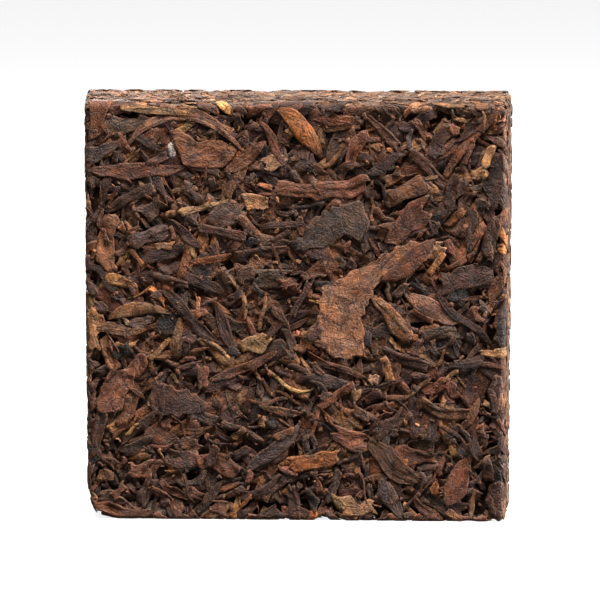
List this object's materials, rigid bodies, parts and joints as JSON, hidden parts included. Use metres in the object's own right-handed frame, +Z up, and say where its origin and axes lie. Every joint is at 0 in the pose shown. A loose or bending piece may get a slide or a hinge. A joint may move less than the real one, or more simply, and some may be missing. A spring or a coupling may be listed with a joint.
{
  "type": "pu erh tea brick",
  "caption": "Square brick of pressed ripe tea leaves, standing on its lower edge, for breaking up and brewing.",
  "frame": {"origin": "middle of the flat lower edge that the brick stands on", "axes": "+Z up, -Y out of the front face, +X to the right of the front face"},
  "size_m": [0.0987, 0.0181, 0.0978],
  "materials": {
    "pressed_tea": "matte, dry, rough leaf pieces pressed together"
  },
  "bodies": {
    "root": {"tea_brick": "pressed_tea"}
  },
  "joints": []
}
